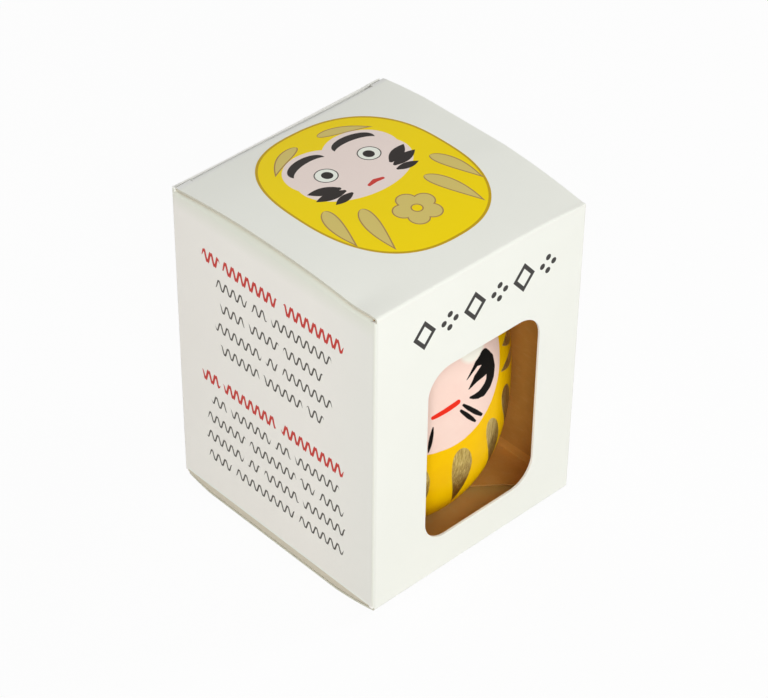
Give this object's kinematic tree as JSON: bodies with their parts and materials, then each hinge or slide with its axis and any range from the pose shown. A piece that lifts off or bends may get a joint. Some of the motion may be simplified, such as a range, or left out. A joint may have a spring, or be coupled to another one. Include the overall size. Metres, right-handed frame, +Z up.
{
  "type": "daruma doll in a window carton",
  "caption": "Round papier-mache wishing doll standing in a small folding carton with a front window, hinged lids, tuck flaps and dust flaps.",
  "frame": {"origin": "middle of the footprint, on the surface that the carton stands on", "axes": "+Z up; the window faces -Y and the back wall with the tucked-in flaps +Y; +X to the right of someone facing the window"},
  "size_m": [0.06, 0.0624, 0.0831],
  "materials": {
    "carton_board": "white clay-coated outside, brown kraft inside, matt",
    "painted_papier_mache": "hand-painted, satin",
    "clay": "unglazed, matt"
  },
  "bodies": {
    "carton": {"front_panel": "carton_board", "back_panel": "carton_board", "left_panel": "carton_board", "right_panel": "carton_board", "glue_flap": "carton_board"},
    "top_lid": {"top_lid": "carton_board"},
    "top_tuck_flap": {"top_tuck_flap": "carton_board"},
    "top_dust_flap_left": {"top_dust_flap_left": "carton_board"},
    "top_dust_flap_right": {"top_dust_flap_right": "carton_board"},
    "bottom_lid": {"bottom_lid": "carton_board"},
    "bottom_tuck_flap": {"bottom_tuck_flap": "carton_board"},
    "bottom_dust_flap_left": {"bottom_dust_flap_left": "carton_board"},
    "bottom_dust_flap_right": {"bottom_dust_flap_right": "carton_board"},
    "doll": {"doll_shell": "painted_papier_mache", "doll_base_weight": "clay"}
  },
  "joints": [
    {"name": "top_lid_hinge", "type": "hinge", "parent": "carton", "child": "top_lid", "pos_m": [0, -0.0312, 0.0801], "axis": [1, 0, 0], "range_deg": [0, 180]},
    {"name": "top_tuck_fold", "type": "hinge", "parent": "top_lid", "child": "top_tuck_flap", "pos_m": [0, 0.02936, 0.08129], "axis": [1, 0, 0], "range_deg": [0, 45]},
    {"name": "top_dust_fold_left", "type": "hinge", "parent": "carton", "child": "top_dust_flap_left", "pos_m": [-0.03, 0, 0.0794], "axis": [0, -1, 0], "range_deg": [0, 108]},
    {"name": "top_dust_fold_right", "type": "hinge", "parent": "carton", "child": "top_dust_flap_right", "pos_m": [0.03, 0, 0.0794], "axis": [0, 1, 0], "range_deg": [0, 108]},
    {"name": "bottom_lid_hinge", "type": "hinge", "parent": "carton", "child": "bottom_lid", "pos_m": [0, -0.0312, 0.003], "axis": [-1, 0, 0], "range_deg": [0, 180]},
    {"name": "bottom_tuck_fold", "type": "hinge", "parent": "bottom_lid", "child": "bottom_tuck_flap", "pos_m": [0, 0.02942, 0.00182], "axis": [-1, 0, 0], "range_deg": [0, 45]},
    {"name": "bottom_dust_fold_left", "type": "hinge", "parent": "carton", "child": "bottom_dust_flap_left", "pos_m": [-0.03, 0, 0.0037], "axis": [0, 1, 0], "range_deg": [0, 108]},
    {"name": "bottom_dust_fold_right", "type": "hinge", "parent": "carton", "child": "bottom_dust_flap_right", "pos_m": [0.03, 0, 0.0037], "axis": [0, -1, 0], "range_deg": [0, 108]},
    {"name": "doll_lift", "type": "slide", "parent": "carton", "child": "doll", "axis": [0, 0, 1], "range_m": [0, 0.009]}
  ],
  "couplings": [
    {"joint": "top_tuck_fold", "follows": "top_lid_hinge", "ratio": 0.25},
    {"joint": "top_dust_fold_left", "follows": "top_lid_hinge", "ratio": 0.6},
    {"joint": "top_dust_fold_right", "follows": "top_lid_hinge", "ratio": 0.6},
    {"joint": "bottom_tuck_fold", "follows": "bottom_lid_hinge", "ratio": 0.25},
    {"joint": "bottom_dust_fold_left", "follows": "bottom_lid_hinge", "ratio": 0.6},
    {"joint": "bottom_dust_fold_right", "follows": "bottom_lid_hinge", "ratio": 0.6}
  ]
}
